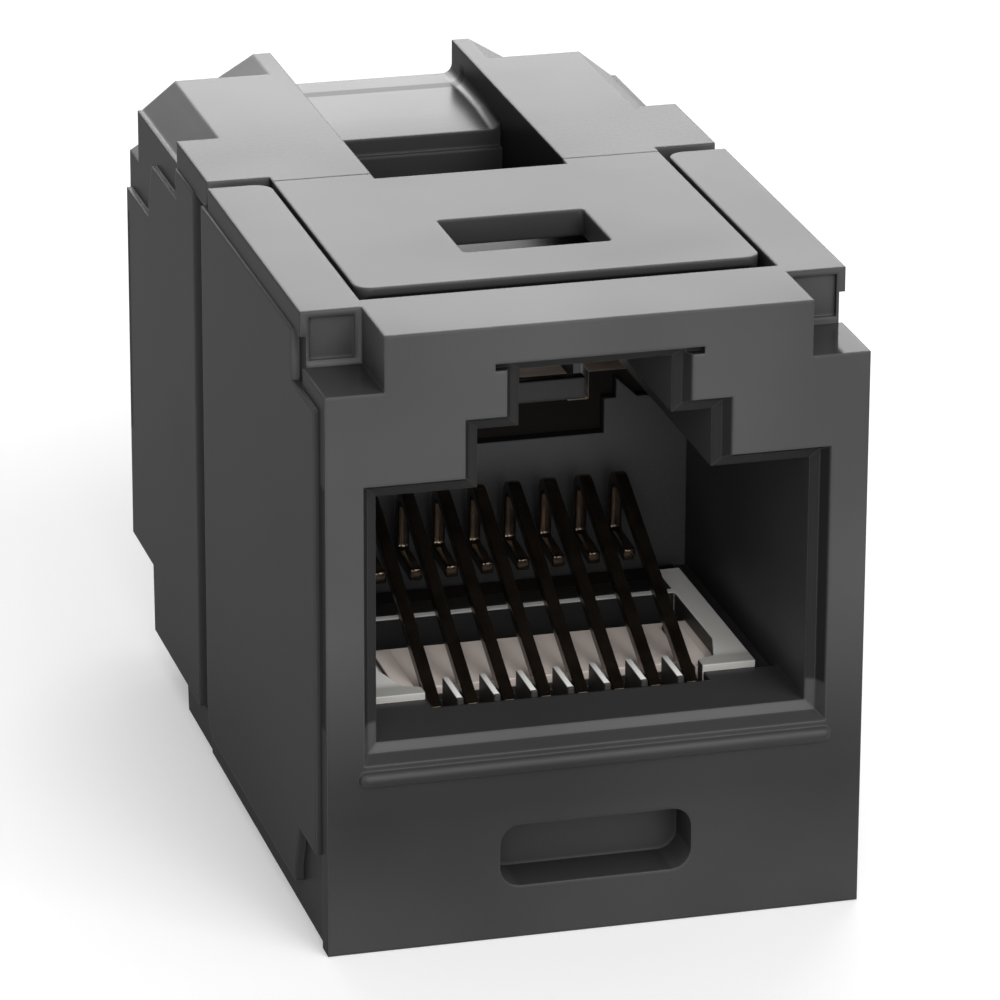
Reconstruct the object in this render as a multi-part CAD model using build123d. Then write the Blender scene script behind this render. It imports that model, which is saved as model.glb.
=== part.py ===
"""In-line RJ45 coupler module: two modular jack ports, back to back, around one circuit board.

Millimetres, +Z up, X across the width. While it is modelled, Y is the depth behind the front face.
At the end everything is shifted so that the origin is the middle of the bottom of the whole part.
"""
from build123d import *
from math import radians, tan
import os

running_gap = 0.05          # between neighbouring pieces that don't touch
overcut = 1.0               # how far a cut reaches past the surface it opens
pick_tolerance = 0.01       # for finding an edge by its place

# Modular jack opening, the same at both ends
port_half_width = 5.85
port_floor = 5.75           # lip at the mouth
port_height = 6.85
step_half_width = 3.15      # wide step of the keyway
step_rise = 1.6
key_half_width = 2.05       # narrow slot for the plug's latch
key_rise = 1.55
mouth_border = 0.45         # width of the recessed border round the mouth
mouth_ledge = 0.25          # width that is left after the border's steep outer part
mouth_wall_depth = 0.4
mouth_depth = 0.5
key_border = 0.34           # width of the border above the key slot
cavity_step = 0.25          # from the lip down to the floor behind it
serif_overhang = 0.3        # small cut beyond the keyway's upper corners
serif_height = 0.2
serif_depth = 0.3

port_roof = port_floor + port_height
step_roof = port_roof + step_rise
key_roof = step_roof + key_rise
cavity_floor = port_floor - cavity_step

# Contact wires and leads
contact_count = 8
contact_pitch = 1.016
wire_size = 0.36
nose_depth = 3.0            # pivot line of the sprung wires
nose_drop = 0.55            # below the lip
crown_depth = 10.55
crown_rise = 3.75           # above the nose
hook_setback = 0.3          # of the bend behind the crown
hook_drop = 2.0             # below the crown
tip_length = 1.65
tip_drop = 0.1
crown_radius = 0.4
hook_radius = 0.3
nose_gap = 0.02
back_gap = 0.95             # between the crown and the partition
lead_drop = 0.85            # of the fixed run below the nose
wire_clearance = 0.1        # between a wire and the sled beside or behind it

nose_height = port_floor - nose_drop
crown_height = nose_height + crown_rise
lead_height = nose_height - lead_drop
last_wire_side = (contact_count - 1) / 2 * contact_pitch + wire_size / 2
hook_depth = crown_depth + hook_setback
hook_height = crown_height - hook_drop
tip_depth = hook_depth - tip_length
port_depth = crown_depth + back_gap

# Contact sled
sled_side_gap = 0.52
sled_front = 3.15
sled_front_gap = 0.1
rail_end_gap = 1.2          # from the rails' ends to the partition
sled_rise = 0.15            # top of rails, beam and comb above the lip
sled_floor_drop = 0.3       # floor patch below the lip
sled_floor_front = 4.6
sled_pit_length = 1.0       # between the floor patch and the beam
sled_pit_drop = 0.75
sled_base_thickness = 0.4
rail_width = 0.68
foot_flare_rear = 4.95
foot_flare_front = 3.8
foot_flare_width = 0.32
foot_toe_rear = 3.6
ledge_rear = 7.0            # low ledge beside each rail, behind a narrow slot
ledge_slot_share = 0.36855  # of the room between the rail and the last wire
ledge_drop = 0.3            # below the sled's top
beam_thickness = 0.3
beam_gap = 0.4              # between the beam and the wires' tips
comb_front = 2.5
comb_length = 1.6
comb_tooth = 0.18
comb_depth = 1.25
pocket_side_gap = 0.35
pocket_clearance = 0.05     # below the leads

sled_half_width = port_half_width - sled_side_gap
sled_rail_end = port_depth - rail_end_gap
beam_front = tip_depth - beam_gap - beam_thickness
sled_floor_rear = beam_front - sled_pit_length
sled_top = port_floor + sled_rise
sled_pit_floor = port_floor - sled_pit_drop
rail_inner = sled_half_width - rail_width
pocket_half_width = port_half_width - pocket_side_gap
pocket_floor = lead_height - wire_size / 2 - pocket_clearance

# Partition behind each port
partition_thickness = 0.4
notch_half_width = 3.45
notch_above_crown = 0.7
rib_half_width = 2.9
rib_gap = 1.07              # height of the notch below the rib
rib_height = 0.61
rib_stem_half_width = 1.0
post_rise = 1.0             # of the partition's side posts above the notch's floor
fin_inner = 3.8
fin_outer = 4.4
fin_height = 0.58

notch_floor = crown_height + notch_above_crown
rib_bottom = notch_floor + rib_gap
rib_top = rib_bottom + rib_height
post_top = notch_floor + post_rise

# Circuit board between the partitions
board_thickness = 0.8
board_side_gap = 0.25
board_below_pocket = 0.27
board_above_rib = 0.02
board_slot_inner = 2.5
board_slot_outer = 3.1
board_slot_depth = 0.8

board_half_width = port_half_width - board_side_gap
board_bottom = pocket_floor - board_below_pocket
board_top = rib_top + board_above_rib
board_front = port_depth + partition_thickness
board_rear = board_front + board_thickness
body_length = board_rear + partition_thickness + port_depth

# Outside of both housings
side_wall = 1.45            # beside the opening
crest_thickness = 1.35      # above the keyway

body_half_width = port_half_width + side_wall
body_height = key_roof + crest_thickness
open_top = body_height + overcut

# Front housing outside
wall_inset = 0.1
panel_proud = 0.12
groove_sink = 0.2
upper_wall_drop = 0.68
notch_drop = 1.53           # floor of the stepped front corners
notch_width = 1.575
notch_depth = 2.4
crest_depth = 2.95
strip_width = 1.65
strip_proud = 0.06
strip_corner_radius = 0.5
deck_drop = 1.7             # floor below the latch plate
deck_skin = 0.4             # between that floor and the keyway below it
spigot_length = 1.6         # of the rear housing inside the front one
front_plate_thickness = 0.6
side_groove_end = 0.75
side_groove_bottom = 2.75
side_groove_top_drop = 2.05
panel_step = 3.15
panel_slope = 0.5
panel_end_gap = 0.45        # from the panel's rear edge to the split
panel_bottom = 0.85
panel_low_front_bottom = 2.6
panel_low_step_bottom = 1.3
panel_top_gap = 0.05
panel_corner_radius = 0.9
corner_panel_inset = 0.18
corner_panel_recess = 0.12
wall_skin = 1.0             # a raised panel's depth into the wall behind it

wall_half_width = body_half_width - wall_inset
panel_half_width = body_half_width + panel_proud
groove_half_width = wall_half_width - groove_sink
crest_half_width = body_half_width - notch_width
strip_inner = body_half_width - strip_width
notch_height = body_height - notch_drop
upper_wall_bottom = body_height - upper_wall_drop
side_groove_top = body_height - side_groove_top_drop
deck_height = body_height - deck_drop
housing_split = board_rear + spigot_length
panel_rear = housing_split - panel_end_gap

# Ridge and label recess on the front face
ridge_gap = 0.15
ridge_radius = 0.22
ridge_side_gap = 0.85
label_width = 5.25
label_height = 1.75
label_centre = 2.34
label_depth = 1.4
label_radius = 0.55

ridge_height = port_floor - mouth_border - ridge_gap - ridge_radius

# Rear housing outside
spigot_wall = 0.7
spigot_below_pocket = 0.77
spigot_roof = 0.55
rear_wall_inset = 0.15
rear_groove_sink = 0.3
rear_groove_length = 1.05
rear_groove_bottom = 1.0
shoulder_inset = 0.05
shoulder_overhang = 0.53    # in front of the split
shoulder_length = 3.88
shoulder_drop = 0.8
tail_length = 1.2           # the last stretch, where the sides slope like a roof
top_bevel_width = 1.27
top_bevel_drop = 0.9
ridge_overhang = 0.9        # of the crest behind the rear face
ridge_land = 0.51           # flat top of each arm at the crest
roof_side_drop = 2.35
arm_inner = 2.74
well_front_gap = 0.45       # of the well into the latch plate
well_length = 2.15          # of the well behind the shoulder
well_drop = 2.5
well_wall = 0.4
tongue_drop = 1.0
tongue_ledge_drop = 0.6
tongue_ledge_length = 0.22
tongue_ramp_length = 1.9
tongue_ramp_drop = 0.12
tongue_fillet = 0.3
belly_front_length = 3.3    # from the split to the first step of the underside
belly_rise_1 = 0.8
belly_middle_length = 3.85
belly_rise_2 = 3.0
belly_slope = 0.1
rear_panel_length = 3.25    # of the raised panel's middle part, behind the shoulder
rear_panel_drop = 0.9       # from one part's top to the next one's
rear_panel_slope = 0.6
last_panel_drop = 1.7
last_panel_margin = 0.2

spigot_half_width = port_half_width + spigot_wall
spigot_bottom = pocket_floor - spigot_below_pocket
spigot_top = port_roof + spigot_roof
rear_start = housing_split + running_gap
rear_wall_half_width = body_half_width - rear_wall_inset
rear_groove_end = rear_start + rear_groove_length
shoulder_half_width = body_half_width - shoulder_inset
shoulder_front = housing_split - shoulder_overhang
shoulder_rear = shoulder_front + shoulder_length
shoulder_bottom = body_height - shoulder_drop
tail_front = body_length - tail_length
ridge_rear = body_length + ridge_overhang
ridge_half_width = arm_inner + ridge_land
roof_side_height = body_height - roof_side_drop
well_rear = shoulder_rear + well_length
well_floor = body_height - well_drop
tongue_top = body_height - tongue_drop
tongue_ledge = tongue_top - tongue_ledge_drop
belly_step_1 = housing_split + belly_front_length
belly_step_2 = belly_step_1 + belly_middle_length

# Latch plate
latch_side_gap = 0.15
latch_front_gap = 0.85
latch_stub = 0.37           # of the shoulder in front, where the plate is moulded on
latch_thickness = 0.75
latch_travel = 4.5          # degrees, downwards
latch_relief_margin = 0.5   # degrees beyond the travel
latch_corner_radius = 0.45
latch_lip = 0.22            # height of the front edge above its lead-in slope
latch_lead_in = 0.45
window_half_width = 2.04
window_setback = 2.28
window_length = 2.82
window_radius = 0.12
strip_end_gap = 0.2         # from the strips' ends forward of the latch's root

latch_half_width = strip_inner - latch_side_gap
latch_front = crest_depth + latch_front_gap
latch_root = shoulder_front - latch_stub
latch_bottom = body_height - latch_thickness
strip_end = latch_root - strip_end_gap
well_front = latch_root - well_front_gap

overall_centre = (ridge_rear - ridge_radius) / 2


def block(x, y, z):
    """A box between two corners, each direction given as (low, high)."""
    size = [high - low for low, high in (x, y, z)]
    middle = [(high + low) / 2 for low, high in (x, y, z)]
    return Pos(*middle) * Box(*size)


def wide(half_width, y, z):
    """A box that is centred across the width."""
    return block((-half_width, half_width), y, z)


def both_sides(solid):
    return solid + mirror(solid, Plane.YZ)


def side_prism(points, x_low, x_high):
    """A profile of (depth, height) points, extruded across the width from x_low to x_high."""
    profile = make_face(Polyline([(x_low, y, z) for y, z in points], close=True))
    return extrude(profile, amount=x_high - x_low, dir=(1, 0, 0))


def across(points, y):
    """A face of (width, height) points, standing at one depth."""
    return make_face(Polyline([(x, y, z) for x, z in points], close=True))


def turned(solid):
    """The same piece for the rear port: half a turn about the upright through the middle."""
    return Pos(0, body_length, 0) * Rot(0, 0, 180) * solid


def port_outline(grow):
    """The stepped outline of the jack opening, in width and height, grown by a margin."""
    main, step, key = (w + grow for w in (port_half_width, step_half_width, key_half_width))
    right = [
        (main, port_floor - grow),
        (main, port_roof + grow),
        (step, port_roof + grow),
        (step, step_roof + grow),
        (key, step_roof + grow),
        (key, key_roof + grow * key_border / mouth_border),
    ]
    left = [(-x, z) for x, z in reversed(right)]
    return right + left


def mouth_cut():
    """The recessed border round the opening: a steep outer part, then a flatter one."""
    outer = across(port_outline(mouth_border), 0)
    middle = across(port_outline(mouth_ledge), mouth_wall_depth)
    inner = across(port_outline(0), mouth_depth)
    border_top = key_roof + key_border
    serif = wide(
        key_half_width + mouth_border + serif_overhang,
        (-overcut, serif_depth),
        (border_top - serif_height, border_top),
    )
    return loft([outer, middle]) + loft([middle, inner]) + serif


def port_cut(key_depth):
    """Everything that a port takes out of a housing, with the mouth in the plane y = 0."""
    inside = (-overcut, port_depth)
    main = wide(port_half_width, inside, (port_floor, port_roof))
    step = wide(step_half_width, inside, (port_floor, step_roof))
    key = wide(key_half_width, (-overcut, key_depth), (port_floor, key_roof))
    behind_lip = sled_front - sled_front_gap
    cavity = wide(port_half_width, (behind_lip, port_depth), (cavity_floor, port_roof))
    pocket = wide(pocket_half_width, (behind_lip, board_front), (pocket_floor, cavity_floor))
    comb_bay = wide(
        last_wire_side + wire_clearance,
        (comb_front - running_gap, sled_front),
        (pocket_floor, port_roof),
    )
    return mouth_cut() + main + step + key + cavity + pocket + comb_bay


def partition_cut():
    """The openings in the partition: a notch behind the crowns, and two windows above it."""
    y = (port_depth - running_gap, board_front + running_gap)
    notch = wide(notch_half_width, y, (notch_floor, rib_bottom))
    window = block((rib_half_width, notch_half_width), y, (notch_floor, port_roof))
    above_rib = block((rib_stem_half_width, notch_half_width), y, (rib_top, port_roof))
    above_post = block((notch_half_width, port_half_width), y, (post_top, port_roof))
    return notch + both_sides(window + above_rib + above_post)


def partition_fins():
    """The small three-cornered fin on each of the partition's posts."""
    corners = [(fin_inner, post_top), (fin_outer, post_top), (fin_inner, post_top + fin_height)]
    return both_sides(extrude(across(corners, port_depth), amount=partition_thickness, dir=(0, 1, 0)))


def side_panel(points, rounded_at):
    """A raised panel for the right side; rounded_at is the (depth, height) of its round corner."""
    panel = side_prism(points, groove_half_width, panel_half_width)
    corner = [
        edge for edge in panel.edges().filter_by(Axis.X)
        if (Vector(0, *rounded_at) - Vector(0, edge.center().Y, edge.center().Z)).length < pick_tolerance
    ]
    return fillet(corner, panel_corner_radius)


def front_ridge():
    """The half-round ridge under the mouth, with round ends."""
    straight = body_half_width - ridge_side_gap - ridge_radius
    bar = Pos(0, 0, ridge_height) * Rot(0, 90, 0) * Cylinder(ridge_radius, 2 * straight)
    ends = [Pos(side * straight, 0, ridge_height) * Sphere(ridge_radius) for side in (-1, 1)]
    return bar + ends[0] + ends[1]


def label_recess():
    shape = Plane.XZ * Pos(0, label_centre) * RectangleRounded(label_width, label_height, label_radius)
    return extrude(shape, amount=label_depth, dir=(0, 1, 0))


def top_strip():
    """The strip beside the latch plate on the right, with its rear inner corner rounded."""
    depth = (notch_depth, strip_end)
    strip = block((strip_inner, wall_half_width), depth, (deck_height, body_height))
    side = (wall_half_width, body_half_width + strip_proud)
    strip += block(side, depth, (upper_wall_bottom, body_height))
    rear_inner = [
        edge for edge in strip.edges().filter_by(Axis.Z)
        if edge.center().Y > strip_end - pick_tolerance
        and edge.center().X < strip_inner + pick_tolerance
    ]
    return fillet(rear_inner, strip_corner_radius)


def front_housing():
    deck = wide(wall_half_width, (0, housing_split), (0, deck_height))
    plate = wide(body_half_width, (0, front_plate_thickness), (0, notch_height))
    brow = wide(body_half_width, (0, notch_depth), (side_groove_top, notch_height))
    crest = wide(crest_half_width, (0, crest_depth), (deck_height, body_height))
    solid = deck + plate + brow + crest + both_sides(top_strip())

    panel_lower_top = side_groove_top - panel_top_gap
    panel = side_panel(
        [
            (side_groove_end, panel_lower_top),
            (panel_step, panel_lower_top),
            (panel_step, upper_wall_bottom),
            (panel_rear, upper_wall_bottom),
            (panel_rear, panel_bottom),
            (panel_step, panel_bottom),
            (panel_step, panel_low_step_bottom),
            (panel_step - panel_slope, panel_low_front_bottom),
            (side_groove_end, panel_low_front_bottom),
        ],
        rounded_at=(panel_rear, panel_bottom),
    )
    groove = block(
        (groove_half_width, body_half_width + overcut),
        (front_plate_thickness, side_groove_end),
        (side_groove_bottom, side_groove_top),
    )
    inset = block(
        (crest_half_width + corner_panel_inset, body_half_width - corner_panel_inset),
        (notch_depth - overcut, notch_depth + corner_panel_recess),
        (notch_height + corner_panel_inset, body_height - corner_panel_inset),
    )
    solid = solid - both_sides(groove) - both_sides(inset) + both_sides(panel)

    bay = wide(
        spigot_half_width + running_gap,
        (board_rear, housing_split + overcut),
        (spigot_bottom - running_gap, spigot_top + running_gap),
    )
    board_bay = wide(
        board_half_width + running_gap,
        (board_front, housing_split),
        (board_bottom - running_gap, port_roof),
    )
    under_deck = wide(key_half_width, (0, port_depth), (port_roof, deck_height - deck_skin))
    solid -= port_cut(key_depth=crest_depth - deck_skin) + under_deck + partition_cut()
    return solid - board_bay - bay - label_recess() + front_ridge() + partition_fins()


def roof_profile(half_top, half_side, side_height):
    """A flat top with sloping sides, in width and height, down to the bottom of the part."""
    return [
        (-half_side, 0),
        (half_side, 0),
        (half_side, side_height),
        (half_top, body_height),
        (-half_top, body_height),
        (-half_side, side_height),
    ]


def rear_body():
    """The rear housing's outer form before anything is cut from it."""
    body = wide(rear_wall_half_width, (rear_start, tail_front), (0, shoulder_bottom))
    bevel_foot = body_height - top_bevel_drop
    upper = roof_profile(body_half_width - top_bevel_width, rear_wall_half_width, bevel_foot)
    body += extrude(across(upper, shoulder_rear), amount=tail_front - shoulder_rear, dir=(0, 1, 0))
    body += wide(shoulder_half_width, (shoulder_front, shoulder_rear), (shoulder_bottom, body_height))
    body += wide(latch_half_width, (latch_root, shoulder_front), (latch_bottom, body_height))
    tail = roof_profile(ridge_half_width, rear_wall_half_width, roof_side_height)
    body += extrude(across(tail, tail_front), amount=tail_length, dir=(0, 1, 0))

    slope = (body_height - roof_side_height) / (rear_wall_half_width - ridge_half_width)
    crest_side = ridge_half_width + (body_height - tongue_ledge) / slope
    crest = extrude(
        across(roof_profile(ridge_half_width, crest_side, tongue_ledge), body_length),
        amount=ridge_overhang,
        dir=(0, 1, 0),
    )
    key_side = (0, step_roof + mouth_border)
    return body + (crest - wide(body_half_width, (body_length, ridge_rear), key_side))


def rear_panel():
    """The raised panel of the right side, whose top comes down in two steps."""
    middle_top = shoulder_bottom - rear_panel_drop
    last_top = middle_top - last_panel_drop
    middle_rear = shoulder_rear + rear_panel_length
    rear = body_length - last_panel_margin
    outline = [
        (rear_groove_end, rear_groove_bottom),
        (rear_groove_end, shoulder_bottom),
        (shoulder_rear, shoulder_bottom),
        (shoulder_rear, middle_top),
        (middle_rear, middle_top),
        (middle_rear + rear_panel_slope, last_top),
        (rear, last_top),
        (rear, rear_groove_bottom),
    ]
    return side_prism(outline, rear_wall_half_width - wall_skin, body_half_width)


def tongue_gap():
    """The space over the tongue between the arms, with rounded corners along its bottom."""
    gap = side_prism(
        [
            (well_rear, tongue_top - tongue_ramp_drop),
            (well_rear + tongue_ramp_length, tongue_top),
            (ridge_rear + overcut, tongue_top),
            (ridge_rear + overcut, open_top),
            (well_rear, open_top),
        ],
        -arm_inner,
        arm_inner,
    )
    corners = [
        edge for edge in gap.edges()
        if abs(edge.center().X) > arm_inner - pick_tolerance
        and edge.center().Z < tongue_top + pick_tolerance
    ]
    return fillet(corners, tongue_fillet)


def rear_housing():
    belly = side_prism(
        [
            (belly_step_1, -overcut),
            (belly_step_1, 0),
            (belly_step_1 + belly_slope, belly_rise_1),
            (belly_step_2, belly_rise_1),
            (belly_step_2 + belly_slope, belly_rise_2),
            (ridge_rear + overcut, belly_rise_2),
            (ridge_rear + overcut, -overcut),
        ],
        -panel_half_width,
        panel_half_width,
    )
    groove = block(
        (rear_wall_half_width - rear_groove_sink, panel_half_width),
        (rear_start - overcut, rear_groove_end),
        (rear_groove_bottom, shoulder_bottom),
    )
    well = wide(arm_inner, (well_front, well_rear), (well_floor, open_top))
    ledge = wide(arm_inner, (well_rear, well_rear + tongue_ledge_length), (tongue_ledge, open_top))
    body = rear_body() + both_sides(rear_panel())
    body = body - belly - both_sides(groove) - well - ledge - tongue_gap()
    body += wide(
        spigot_half_width,
        (board_rear + running_gap, rear_start),
        (spigot_bottom, spigot_top),
    )
    key_depth = body_length - well_rear - well_wall
    body = body - turned(port_cut(key_depth)) - turned(partition_cut())
    return body + wide(ridge_half_width, (body_length - mouth_depth, ridge_rear), (key_roof, tongue_top))


def latch_plate():
    plate = wide(latch_half_width, (latch_front, latch_root), (latch_bottom, body_height))
    front_corners = plate.edges().filter_by(Axis.Z).group_by(Axis.Y)[0]
    plate = fillet(front_corners, latch_corner_radius)
    window_front = latch_front + window_setback
    opening = wide(window_half_width, (window_front, window_front + window_length), (0, open_top))
    opening = fillet(opening.edges().filter_by(Axis.Z), window_radius)
    root_gap = wide(arm_inner, (well_front, latch_root), (0, open_top))
    relief_slope = tan(radians(latch_travel + latch_relief_margin))
    relief = side_prism(
        [
            (latch_root, body_height),
            (latch_root, deck_height),
            (latch_root - deck_drop * relief_slope, deck_height),
        ],
        -body_half_width,
        body_half_width,
    )
    lead_in = side_prism(
        [
            (latch_front, body_height - latch_lip),
            (latch_front, deck_height),
            (latch_front + latch_lead_in, deck_height),
            (latch_front + latch_lead_in, latch_bottom),
        ],
        -body_half_width,
        body_half_width,
    )
    return plate - opening - root_gap - relief - lead_in


def contact_x(number):
    return (number - (contact_count + 1) / 2) * contact_pitch


def foot():
    """The flared foot at the right rail's front, reaching in to the last wire."""
    toe = last_wire_side + wire_clearance
    corners = [
        (rail_inner, foot_flare_rear),
        (rail_inner - foot_flare_width, foot_flare_front),
        (toe, foot_toe_rear),
        (toe, sled_front),
        (rail_inner + wire_clearance, sled_front),
        (rail_inner + wire_clearance, foot_flare_rear),
    ]
    outline = make_face(Polyline([(x, y, sled_pit_floor) for x, y in corners], close=True))
    return extrude(outline, amount=sled_top - sled_pit_floor, dir=(0, 0, 1))


def sled():
    """The contact carrier in the front port's place."""
    base_front = nose_depth + wire_size / 2 + wire_clearance
    upper = (sled_pit_floor, sled_top)
    base = wide(
        sled_half_width,
        (base_front, board_front),
        (sled_pit_floor - sled_base_thickness, sled_pit_floor),
    )
    patch = wide(
        rail_inner,
        (sled_floor_front, sled_floor_rear),
        (sled_pit_floor, port_floor - sled_floor_drop),
    )
    ledge_inner = last_wire_side + wire_clearance
    ledge_slot = ledge_slot_share * (rail_inner - ledge_inner)
    ledge = block(
        (ledge_inner, rail_inner - ledge_slot),
        (foot_flare_front, ledge_rear),
        (sled_pit_floor, sled_top - ledge_drop),
    )
    rail = block((rail_inner, sled_half_width), (sled_front, sled_rail_end), upper)
    beam = wide(rail_inner, (beam_front, beam_front + beam_thickness), upper)
    solid = base + patch + both_sides(rail + foot() + ledge) + beam
    for gap in range(1, contact_count):
        x = (gap - contact_count / 2) * contact_pitch
        solid += block(
            (x - comb_tooth / 2, x + comb_tooth / 2),
            (comb_front, comb_front + comb_length),
            (sled_top - comb_depth, sled_top),
        )
    return solid


def contact(number):
    """One sprung wire: up from the nose to the crown, down behind it, and forward to its tip."""
    x = contact_x(number)
    rise = Vector(0, crown_depth - nose_depth, crown_rise).normalized()
    start = Vector(x, nose_depth, nose_height) + rise * (wire_size / 2 + nose_gap)
    path = FilletPolyline(
        start,
        (x, crown_depth, crown_height),
        (x, hook_depth, hook_height),
        (x, tip_depth, hook_height - tip_drop),
        radius=(crown_radius, hook_radius),
    )
    section = Plane(origin=start, x_dir=(1, 0, 0), z_dir=rise) * Rectangle(wire_size, wire_size)
    return sweep(section, path=path)


def lead(number):
    """The fixed run below the sled: from the board forward, then up to a round end at the nose."""
    x = contact_x(number)
    half = wire_size / 2
    width = (x - half, x + half)
    run = block(width, (nose_depth - half, board_front), (lead_height - half, lead_height + half))
    riser = block(width, (nose_depth - half, nose_depth + half), (lead_height, nose_height))
    end = Pos(x, nose_depth, nose_height) * Rot(0, 90, 0) * Cylinder(half, wire_size)
    bend = (run + riser).edges().filter_by(Axis.X).group_by(Axis.Y)[0].group_by(Axis.Z)[0]
    return fillet(bend, half) + end


def board():
    """The circuit board, with two slots in its upper edge."""
    depth = (board_front, board_rear)
    slot = block(
        (board_slot_inner, board_slot_outer),
        (board_front - overcut, board_rear + overcut),
        (board_top - board_slot_depth, board_top + overcut),
    )
    return wide(board_half_width, depth, (board_bottom, board_top)) - both_sides(slot)


def save(node, shape):
    export_step(Pos(0, -overall_centre, 0) * shape, f"parts/{node}.step")


os.makedirs("parts", exist_ok=True)
save("front_housing", front_housing())
save("rear_housing", rear_housing())
save("latch_plate", latch_plate())
save("circuit_board", board())
save("front_contact_sled", sled())
save("rear_contact_sled", turned(sled()))
numbers = range(1, contact_count + 1)
save("front_leads", Compound(children=[lead(n) for n in numbers]))
save("rear_leads", Compound(children=[turned(lead(n)) for n in numbers]))
for n in numbers:
    save(f"front_contact_{n}", contact(n))
    save(f"rear_contact_{n}", turned(contact(n)))
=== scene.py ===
"""Looks, light and camera for the in-line RJ45 coupler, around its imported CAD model. Metres."""

import math

import bpy
from mathutils import Matrix, Vector


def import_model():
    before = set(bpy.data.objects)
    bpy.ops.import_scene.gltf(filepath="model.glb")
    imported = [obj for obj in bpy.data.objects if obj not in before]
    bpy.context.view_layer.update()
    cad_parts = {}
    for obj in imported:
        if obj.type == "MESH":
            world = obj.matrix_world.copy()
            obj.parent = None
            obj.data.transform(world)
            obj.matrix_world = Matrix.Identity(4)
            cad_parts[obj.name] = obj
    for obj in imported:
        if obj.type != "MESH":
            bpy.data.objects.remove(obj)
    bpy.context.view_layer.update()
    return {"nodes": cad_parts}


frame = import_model()

MM = 0.001

# Planes across the part that its materials measure distances from.
FRONT_PLANE = -12.64 * MM
PORTS_MIDDLE = -0.34 * MM
CORNER_FLOOR = 15.57 * MM
LOW_BAND_MIDDLE = 4.3 * MM
UPPER_MOUTH_MIDDLE = 11.5 * MM

# Painted shade: black for the housings' hollows, and dark grey for the sleds' shaded faces.
SHADOW_BLACK = (0.006, 0.006, 0.006)
PAINTED_SHADE_GREY = (0.03, 0.028, 0.026)
WHITE = (1.0, 1.0, 1.0, 1.0)

# Samples that a material takes round a point to find edges and hollows.
NEARBY_SAMPLES = 4

# Cosines at which an edge starts and is full, and at which a face looks along an axis.
EDGE_START = 0.99
EDGE_FULL = 0.9
FACING_START = 0.6
FACING_FULL = 0.9

# The Mix node's sockets for colours, by number, because their names repeat.
MIX_FACTOR = 0
MIX_FIRST = 6
MIX_SECOND = 7
MIX_RESULT = 2

# Width of the rounded edges on each kind of piece.
HOUSING_EDGE = 0.07 * MM
BOARD_EDGE = 0.03 * MM
SLED_EDGE = 0.05 * MM
LEAD_EDGE = 0.04 * MM
CONTACT_EDGE = 0.06 * MM
EDGE_SEGMENTS = 2
MERGE_DISTANCE = 0.0001 * MM
FLAT_ANGLE = math.radians(0.5)
SHARP_ANGLE = math.radians(28)
CONTACTS_PER_PORT = 8

# The floor lies just under the part, so that no face of the part shares its plane.
FLOOR_HEIGHT = -0.02 * MM
FLOOR_REACH = 1.6
FLOOR_COLOUR = (0.82, 0.82, 0.82, 1.0)
FLOOR_LIFT = 0.25

# The rays that see the background itself. The others only carry its light.
SEEING_RAYS = ("Is Camera Ray", "Is Glossy Ray", "Is Transmission Ray")
SKY_LIGHT = 0.35
SKY_SEEN = 1.0

# Each lamp's name, place, side length and power in watts.
LAMPS = (
    ("back_light", (0.09, 0.33, 0.20), 0.34, 1.05),
    ("key_light", (0.16, -0.30, 0.34), 0.26, 0.7),
    ("fill_light", (-0.02, -0.45, 0.22), 0.42, 1.95),
)
LAMP_TARGET = (0.0, 0.0, 0.009)

# The camera's frame and focal length in pixels, its sensor in millimetres, and its pose.
IMAGE_SIZE = 1000
FOCAL_PIXELS = 6218.2
SENSOR = 36.0
CAMERA_PLACE = (-0.04205, -0.15740, 0.06845)
CAMERA_RIGHT = (0.96528, -0.26119, 0.00363)
CAMERA_UP = (0.08816, 0.33882, 0.93671)
CLIP_NEAR = 0.01
CLIP_FAR = 10.0


def set_socket(node, name, value):
    """Sets the value of one of a node's own inputs."""
    node.inputs[name].default_value = value


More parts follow.
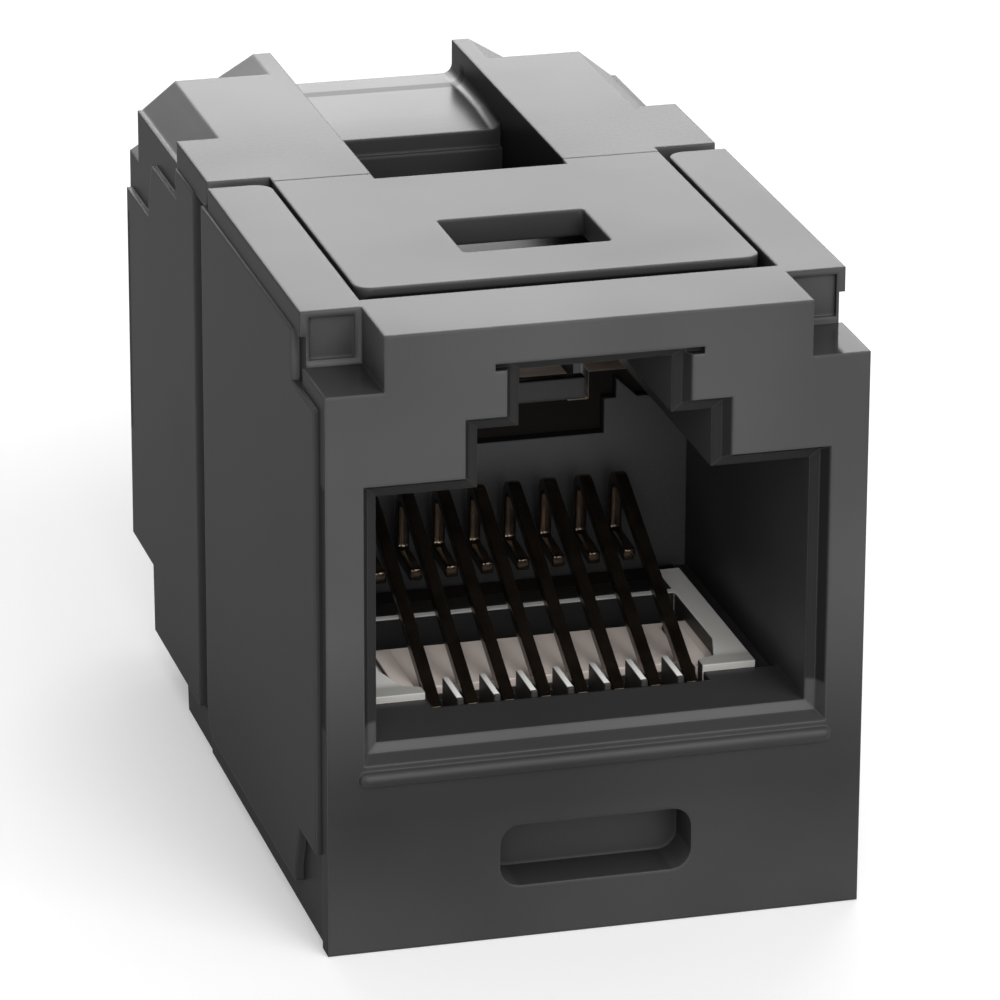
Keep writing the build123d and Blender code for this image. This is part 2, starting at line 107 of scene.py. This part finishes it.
class Graph:
    """A node material that is written as a short chain of calls.

    Most calls give a mask, an output that is 1 in one region of the surface and 0 elsewhere.
    """

    def __init__(self, name):
        self.material = bpy.data.materials.new(name)
        self.material.use_nodes = True
        self.nodes = self.material.node_tree.nodes
        self.links = self.material.node_tree.links
        self.shader = self.nodes["Principled BSDF"]
        self.place = self.nodes.new("ShaderNodeTexCoord").outputs["Object"]

    def link(self, source, target):
        self.links.new(source, target)

    def give(self, name, source):
        """Feeds one input of the shader."""
        self.link(source, self.shader.inputs[name])

    def noise(self, scale, detail, stretch=None):
        """Soft noise in the object's own space, stretched by a factor for each axis."""
        node = self.nodes.new("ShaderNodeTexNoise")
        set_socket(node, "Scale", scale)
        set_socket(node, "Detail", detail)
        place = self.place
        if stretch:
            mapping = self.nodes.new("ShaderNodeMapping")
            set_socket(mapping, "Scale", stretch)
            self.link(place, mapping.inputs["Vector"])
            place = mapping.outputs["Vector"]
        self.link(place, node.inputs["Vector"])
        return node.outputs["Fac"]

    def remap(self, source, low, high, to_low, to_high):
        """Turns the range from low to high into another one, and stops at its ends."""
        node = self.nodes.new("ShaderNodeMapRange")
        set_socket(node, "From Min", low)
        set_socket(node, "From Max", high)
        set_socket(node, "To Min", to_low)
        set_socket(node, "To Max", to_high)
        self.link(source, node.inputs["Value"])
        return node.outputs["Result"]

    def above(self, source, low, high):
        """0 up to the low value and 1 from the high value on."""
        return self.remap(source, low, high, 0.0, 1.0)

    def below(self, source, low, high):
        """1 up to the low value and 0 from the high value on."""
        return self.remap(source, low, high, 1.0, 0.0)

    def span(self, mask, first, last):
        """A value that goes from first to last as the mask goes from 0 to 1."""
        return self.remap(mask, 0.0, 1.0, first, last)

    def combine(self, operation, first, second):
        """Two outputs through one math node."""
        node = self.nodes.new("ShaderNodeMath")
        node.operation = operation
        self.link(first, node.inputs[0])
        self.link(second, node.inputs[1])
        return node.outputs[0]

    def times(self, first, *others):
        """The product of some outputs, which for masks is the region that they share."""
        product = first
        for other in others:
            product = self.combine("MULTIPLY", product, other)
        return product

    def scaled(self, value, *patches):
        """The value, multiplied in each patch of (mask, factor) by that factor."""
        for mask, factor in patches:
            value = self.times(value, self.span(mask, 1.0, factor))
        return value

    def mix(self, factor, first, second):
        """A colour between two others, each given as a colour or as an output."""
        node = self.nodes.new("ShaderNodeMix")
        node.data_type = "RGBA"
        self.link(factor, node.inputs[MIX_FACTOR])
        for number, value in ((MIX_FIRST, first), (MIX_SECOND, second)):
            target = node.inputs[number]
            if isinstance(value, tuple):
                target.default_value = (*value, 1.0)
            else:
                self.link(value, target)
        return node.outputs[MIX_RESULT]

    def painted(self, colour, *patches):
        """The colour with patches of (mask, colour) laid over it, the last one on top."""
        for mask, tint in patches:
            colour = self.mix(mask, colour, tint)
        return colour

    def rounded(self, radius):
        """The surface's direction with its sharp edges rounded by that radius."""
        node = self.nodes.new("ShaderNodeBevel")
        node.samples = NEARBY_SAMPLES
        set_socket(node, "Radius", radius)
        return node.outputs["Normal"]

    def edges(self, radius):
        """1 within that distance of a sharp edge of the surface, and 0 on its flat faces."""
        turn = self.nodes.new("ShaderNodeVectorMath")
        turn.operation = "DOT_PRODUCT"
        self.link(self.rounded(radius), turn.inputs[0])
        self.link(self.nodes.new("ShaderNodeNewGeometry").outputs["Normal"], turn.inputs[1])
        return self.remap(turn.outputs["Value"], EDGE_START, EDGE_FULL, 0.0, 1.0)

    def hollows(self, reach):
        """1 on open faces, falling towards 0 where the surface is shut in within that reach."""
        node = self.nodes.new("ShaderNodeAmbientOcclusion")
        node.samples = NEARBY_SAMPLES
        set_socket(node, "Distance", reach)
        return node.outputs["AO"]

    def along(self, vector, axis):
        """A vector's part along one axis."""
        split = self.nodes.new("ShaderNodeSeparateXYZ")
        self.link(vector, split.inputs["Vector"])
        return split.outputs[axis]

    def unsigned(self, value):
        """The value without its sign."""
        node = self.nodes.new("ShaderNodeMath")
        node.operation = "ABSOLUTE"
        self.link(value, node.inputs[0])
        return node.outputs[0]

    def facing(self, axis):
        """1 where the surface faces along that axis of the object, either way."""
        normal = self.nodes.new("ShaderNodeTexCoord").outputs["Normal"]
        return self.above(self.unsigned(self.along(normal, axis)), FACING_START, FACING_FULL)

    def away(self, axis, plane=0.0):
        """How far a point of the object lies from a plane across that axis, in metres."""
        gap = self.nodes.new("ShaderNodeMath")
        gap.operation = "SUBTRACT"
        gap.inputs[1].default_value = plane
        self.link(self.along(self.place, axis), gap.inputs[0])
        return self.unsigned(gap.outputs[0])

    def bump(self, *layers, normal=None):
        """Bump layers of (height output, depth in metres, strength), one over the other."""
        for height, distance, strength in layers:
            node = self.nodes.new("ShaderNodeBump")
            set_socket(node, "Strength", strength)
            set_socket(node, "Distance", distance)
            self.link(height, node.inputs["Height"])
            if normal:
                self.link(normal, node.inputs["Normal"])
            normal = node.outputs["Normal"]
        self.give("Normal", normal)


def mouth_border(graph):
    """1 on the sloped border round the upper part of either port's opening, and 0 elsewhere."""
    depth = graph.away("Y", PORTS_MIDDLE)
    slant = graph.combine("ADD", graph.away("X"), graph.away("Z"))
    ring = graph.times(
        graph.above(depth, 11.74 * MM, 11.80 * MM),
        graph.below(depth, 12.20 * MM, 12.26 * MM),
    )
    inside = graph.times(
        graph.below(slant, 20.3 * MM, 20.4 * MM),
        graph.below(graph.away("Z", UPPER_MOUTH_MIDDLE), 5.1 * MM, 5.2 * MM),
    )
    return graph.times(ring, inside)


def moulded_black():
    """The housings and the latch plate: satin black plastic, with painted shade low down, in
    hollows, on the sides, the mouth borders and the rear inner walls, painted light on the wall
    between the ports, and painted highlights on the edges.
    """
    graph = Graph("moulded_black")
    cloud = graph.above(graph.noise(120.0, 2.0), 0.15, 0.85)
    grain = graph.noise(9000.0, 2.0)
    depth = graph.away("Y", PORTS_MIDDLE)
    behind = graph.away("Y", FRONT_PLANE)
    across = graph.away("X")
    up = graph.facing("Z")
    # Painted shade in hollows: ambient occlusion darkens the colour towards black and dims the
    # sheen.
    open_air = graph.remap(graph.hollows(8.0 * MM), 0.08, 0.5, 0.3, 1.0)
    border = mouth_border(graph)
    # The body's sides, the port faces low down, and the wall between the two ports.
    side = graph.times(graph.facing("X"), graph.above(across, 6.3 * MM, 6.5 * MM))
    port_face = graph.above(depth, 12.0 * MM, 12.1 * MM)
    near_bottom = graph.below(graph.away("Z", LOW_BAND_MIDDLE), 0.5 * MM, 4.6 * MM)
    low_band = graph.times(graph.facing("Y"), graph.times(near_bottom, port_face))
    partition = graph.times(graph.facing("Y"), graph.below(depth, 3.0 * MM, 3.3 * MM))
    # The floor of the stepped upper corners.
    corner = graph.times(
        graph.below(graph.away("Z", CORNER_FLOOR), 0.1 * MM, 0.15 * MM),
        graph.below(behind, 2.5 * MM, 2.6 * MM),
    )
    # The step between the rear arms, and the walls inside the rear half.
    rear_half = graph.above(behind, 13.0 * MM, 13.5 * MM)
    middle = graph.below(across, 3.0 * MM, 3.3 * MM)
    below_arms = graph.below(graph.away("Z"), 16.7 * MM, 16.9 * MM)
    tongue = graph.times(middle, below_arms, rear_half)
    inner = graph.below(across, 6.2 * MM, 6.3 * MM)
    rear_wall = graph.times(inner, rear_half, graph.facing("X"))
    colour = graph.mix(cloud, (0.035, 0.035, 0.036), (0.049, 0.049, 0.050))
    colour = graph.painted(
        colour,
        # Painted shade: the port faces are darker low down.
        (low_band, (0.013, 0.013, 0.014)),
        # Painted shade: the body's sides are darker.
        (side, (0.023, 0.023, 0.024)),
        # Painted light: the wall between the ports is lighter.
        (partition, (0.075, 0.075, 0.077)),
        # Painted shade: the sloped borders of the mouths are darker.
        (border, (0.014, 0.014, 0.014)),
        # Painted shade: the inner walls of the rear half are darker.
        (rear_wall, (0.010, 0.010, 0.010)),
        # Painted highlight: a lighter line along the sharp edges.
        (graph.edges(0.05 * MM), (0.075, 0.075, 0.078)),
    )
    # Painted shade: the colour falls to black in hollows.
    graph.give("Base Color", graph.mix(open_air, SHADOW_BLACK, colour))
    rough = graph.span(cloud, 0.38, 0.48)
    rough = graph.scaled(rough, (up, 0.55), (graph.times(up, corner), 0.4))
    graph.give("Roughness", rough)
    # Faces that look up or down shine less, by a share that falls a little towards the rear.
    dulled = graph.remap(behind, 13.0 * MM, 23.0 * MM, 0.69, 0.58)
    dulled = graph.scaled(dulled, (tongue, 0.5))
    sheen = graph.times(graph.span(cloud, 0.14, 0.43), open_air)
    sheen = graph.scaled(
        sheen,
        (side, 0.06),
        (border, 0.4),
        (graph.times(up, dulled), 0.0),
        (rear_wall, 0.1),
    )
    graph.give("Specular IOR Level", sheen)
    graph.bump((grain, 0.004 * MM, 0.35), normal=graph.rounded(0.12 * MM))
    return graph.material


def moulded_grey():
    """The contact sleds: light grey plastic, with painted shade on its walls, pits, beam and
    comb, and a painted highlight on its edges.
    """
    graph = Graph("moulded_grey")
    broad = graph.noise(420.0, 3.0, stretch=(1.0, 0.35, 1.0))
    grain = graph.noise(8000.0, 2.0)
    depth = graph.away("Y", PORTS_MIDDLE)
    height = graph.away("Z")
    across = graph.facing("Y")
    sunk = graph.below(height, 5.70 * MM, 5.74 * MM)
    pit = graph.below(height, 5.20 * MM, 5.24 * MM)
    beam = graph.times(across, graph.below(depth, 4.05 * MM, 4.1 * MM))
    front = graph.above(depth, 8.2 * MM, 8.6 * MM)
    comb_front = graph.above(depth, 9.68 * MM, 9.74 * MM)
    outside = graph.above(graph.away("X"), 3.75 * MM, 3.8 * MM)
    teeth = graph.times(front, across, graph.span(outside, 1.0, 0.0))
    colour = graph.mix(graph.above(broad, 0.3, 0.7), (0.66, 0.65, 0.62), (0.78, 0.77, 0.74))
    colour = graph.painted(
        colour,
        # Painted highlight: a lighter line along the sharp edges.
        (graph.edges(0.03 * MM), (0.8, 0.79, 0.77)),
        (front, (0.92, 0.91, 0.89)),
        (graph.times(front, outside), (0.40, 0.395, 0.375)),
        (sunk, (0.80, 0.70, 0.64)),
        # Painted shade: the pit, the walls facing along X, the beam, the comb's front and the
        # teeth are dark.
        (pit, PAINTED_SHADE_GREY),
        (graph.facing("X"), PAINTED_SHADE_GREY),
        (beam, (0.015, 0.015, 0.015)),
        (comb_front, PAINTED_SHADE_GREY),
        (teeth, PAINTED_SHADE_GREY),
    )
    graph.give("Base Color", colour)
    graph.give("Roughness", graph.remap(broad, 0.3, 0.7, 0.42, 0.56))
    graph.give("Specular IOR Level", graph.scaled(graph.span(beam, 0.5, 0.1), (teeth, 0.2)))
    graph.bump((broad, 0.02 * MM, 0.2), (grain, 0.003 * MM, 0.3))
    return graph.material


def plated_wire():
    """The contacts and leads: dark bronze wire with drawing marks and a painted glint along its
    edges.
    """
    graph = Graph("plated_wire")
    drawn = graph.noise(5200.0, 3.0, stretch=(6.0, 0.12, 0.12))
    spots = graph.above(graph.noise(1500.0, 4.0), 0.35, 0.7)
    colour = graph.mix(spots, (0.10, 0.075, 0.055), (0.05, 0.039, 0.03))
    # Painted highlight: a lighter glint along the wire's edges.
    colour = graph.mix(graph.edges(0.04 * MM), colour, (0.30, 0.24, 0.19))
    graph.give("Base Color", colour)
    graph.give("Roughness", graph.remap(drawn, 0.3, 0.7, 0.14, 0.24))
    set_socket(graph.shader, "Metallic", 0.92)
    graph.bump((drawn, 0.004 * MM, 0.3))
    return graph.material


def laminate():
    """The circuit board: tan layers, with dark faces towards the ports and painted shade on the
    faces that look along X.
    """
    graph = Graph("laminate")
    layers = graph.above(graph.noise(2600.0, 3.0, stretch=(0.2, 3.0, 0.2)), 0.3, 0.7)
    fibres = graph.noise(7000.0, 2.0)
    across = graph.facing("Y")
    colour = graph.mix(layers, (0.50, 0.38, 0.29), (0.66, 0.52, 0.41))
    colour = graph.painted(
        colour,
        (across, (0.010, 0.008, 0.007)),
        # Painted shade: the faces looking along X are darker.
        (graph.facing("X"), (0.06, 0.045, 0.035)),
    )
    graph.give("Base Color", colour)
    graph.give("Roughness", graph.remap(fibres, 0.3, 0.7, 0.45, 0.65))
    graph.give("Specular IOR Level", graph.span(across, 0.4, 0.05))
    graph.bump((fibres, 0.006 * MM, 0.4))
    return graph.material


def dress(node, material, width):
    """Gives a CAD node its material and small rounded edges, without touching its mesh."""
    piece = frame["nodes"][node]
    piece.data.materials.clear()
    piece.data.materials.append(material)
    joined = piece.modifiers.new("joined_points", "WELD")
    joined.merge_threshold = MERGE_DISTANCE
    flat = piece.modifiers.new("flat_faces", "DECIMATE")
    flat.decimate_type = "DISSOLVE"
    flat.angle_limit = FLAT_ANGLE
    edges = piece.modifiers.new("rounded_edges", "BEVEL")
    edges.width = width
    edges.segments = EDGE_SEGMENTS
    edges.limit_method = "ANGLE"
    edges.angle_limit = SHARP_ANGLE
    edges.miter_outer = "MITER_ARC"
    normals = piece.modifiers.new("even_shading", "WEIGHTED_NORMAL")
    normals.weight = 100
    normals.keep_sharp = False


def dress_all():
    """Dresses every CAD node."""
    black = moulded_black()
    grey = moulded_grey()
    wire = plated_wire()
    board = laminate()
    for node in ("front_housing", "rear_housing", "latch_plate"):
        dress(node, black, HOUSING_EDGE)
    dress("circuit_board", board, BOARD_EDGE)
    for end in ("front", "rear"):
        dress(f"{end}_contact_sled", grey, SLED_EDGE)
        dress(f"{end}_leads", wire, LEAD_EDGE)
        for number in range(1, CONTACTS_PER_PORT + 1):
            dress(f"{end}_contact_{number}", wire, CONTACT_EDGE)


def seen_rays(tree):
    """1 for the rays that see the background itself, 0 for those that only carry light."""
    path = tree.nodes.new("ShaderNodeLightPath")
    total = path.outputs[SEEING_RAYS[0]]
    for name in SEEING_RAYS[1:]:
        add = tree.nodes.new("ShaderNodeMath")
        add.operation = "ADD"
        add.use_clamp = True
        tree.links.new(total, add.inputs[0])
        tree.links.new(path.outputs[name], add.inputs[1])
        total = add.outputs[0]
    return total


def floor():
    """A pale floor, which glows a little for the rays that see it, so that it turns white."""
    mesh = bpy.data.meshes.new("floor")
    corners = [
        (x * FLOOR_REACH, y * FLOOR_REACH, FLOOR_HEIGHT)
        for x, y in ((-1, -1), (1, -1), (1, 1), (-1, 1))
    ]
    mesh.from_pydata(corners, [], [(0, 1, 2, 3)])
    piece = bpy.data.objects.new("floor", mesh)
    bpy.context.collection.objects.link(piece)
    material = bpy.data.materials.new("floor_pale")
    material.use_nodes = True
    tree = material.node_tree
    shader = tree.nodes["Principled BSDF"]
    set_socket(shader, "Base Color", FLOOR_COLOUR)
    set_socket(shader, "Roughness", 0.9)
    set_socket(shader, "Specular IOR Level", 0.1)
    set_socket(shader, "Emission Color", WHITE)
    lift = tree.nodes.new("ShaderNodeMath")
    lift.operation = "MULTIPLY"
    lift.inputs[1].default_value = FLOOR_LIFT
    tree.links.new(seen_rays(tree), lift.inputs[0])
    tree.links.new(lift.outputs[0], shader.inputs["Emission Strength"])
    mesh.materials.append(material)


def world():
    """A white studio, dim as a light and full white for the rays that see it."""
    sky = bpy.data.worlds.new("studio")
    sky.use_nodes = True
    tree = sky.node_tree
    background = tree.nodes["Background"]
    set_socket(background, "Color", WHITE)
    strength = tree.nodes.new("ShaderNodeMapRange")
    set_socket(strength, "To Min", SKY_LIGHT)
    set_socket(strength, "To Max", SKY_SEEN)
    tree.links.new(seen_rays(tree), strength.inputs["Value"])
    tree.links.new(strength.outputs["Result"], background.inputs["Strength"])
    bpy.context.scene.world = sky


def area_light(name, place, size, power):
    """A square lamp that looks at the middle of the part."""
    lamp = bpy.data.lights.new(name, "AREA")
    lamp.shape = "SQUARE"
    lamp.size = size
    lamp.energy = power
    holder = bpy.data.objects.new(name, lamp)
    holder.location = place
    aim = Vector(LAMP_TARGET) - Vector(place)
    holder.rotation_euler = aim.to_track_quat("-Z", "Y").to_euler()
    bpy.context.collection.objects.link(holder)


def camera():
    """The view that the photograph shows."""
    lens = bpy.data.cameras.new("camera")
    lens.sensor_fit = "HORIZONTAL"
    lens.sensor_width = SENSOR
    lens.lens = SENSOR * FOCAL_PIXELS / IMAGE_SIZE
    lens.clip_start = CLIP_NEAR
    lens.clip_end = CLIP_FAR
    holder = bpy.data.objects.new("camera", lens)
    right = Vector(CAMERA_RIGHT)
    up = Vector(CAMERA_UP)
    turn = Matrix((right, up, right.cross(up))).transposed().to_4x4()
    holder.matrix_world = Matrix.Translation(CAMERA_PLACE) @ turn
    bpy.context.collection.objects.link(holder)
    bpy.context.scene.camera = holder


dress_all()
floor()
world()
for lamp_facts in LAMPS:
    area_light(*lamp_facts)
camera()
bpy.context.scene.view_settings.view_transform = "Standard"
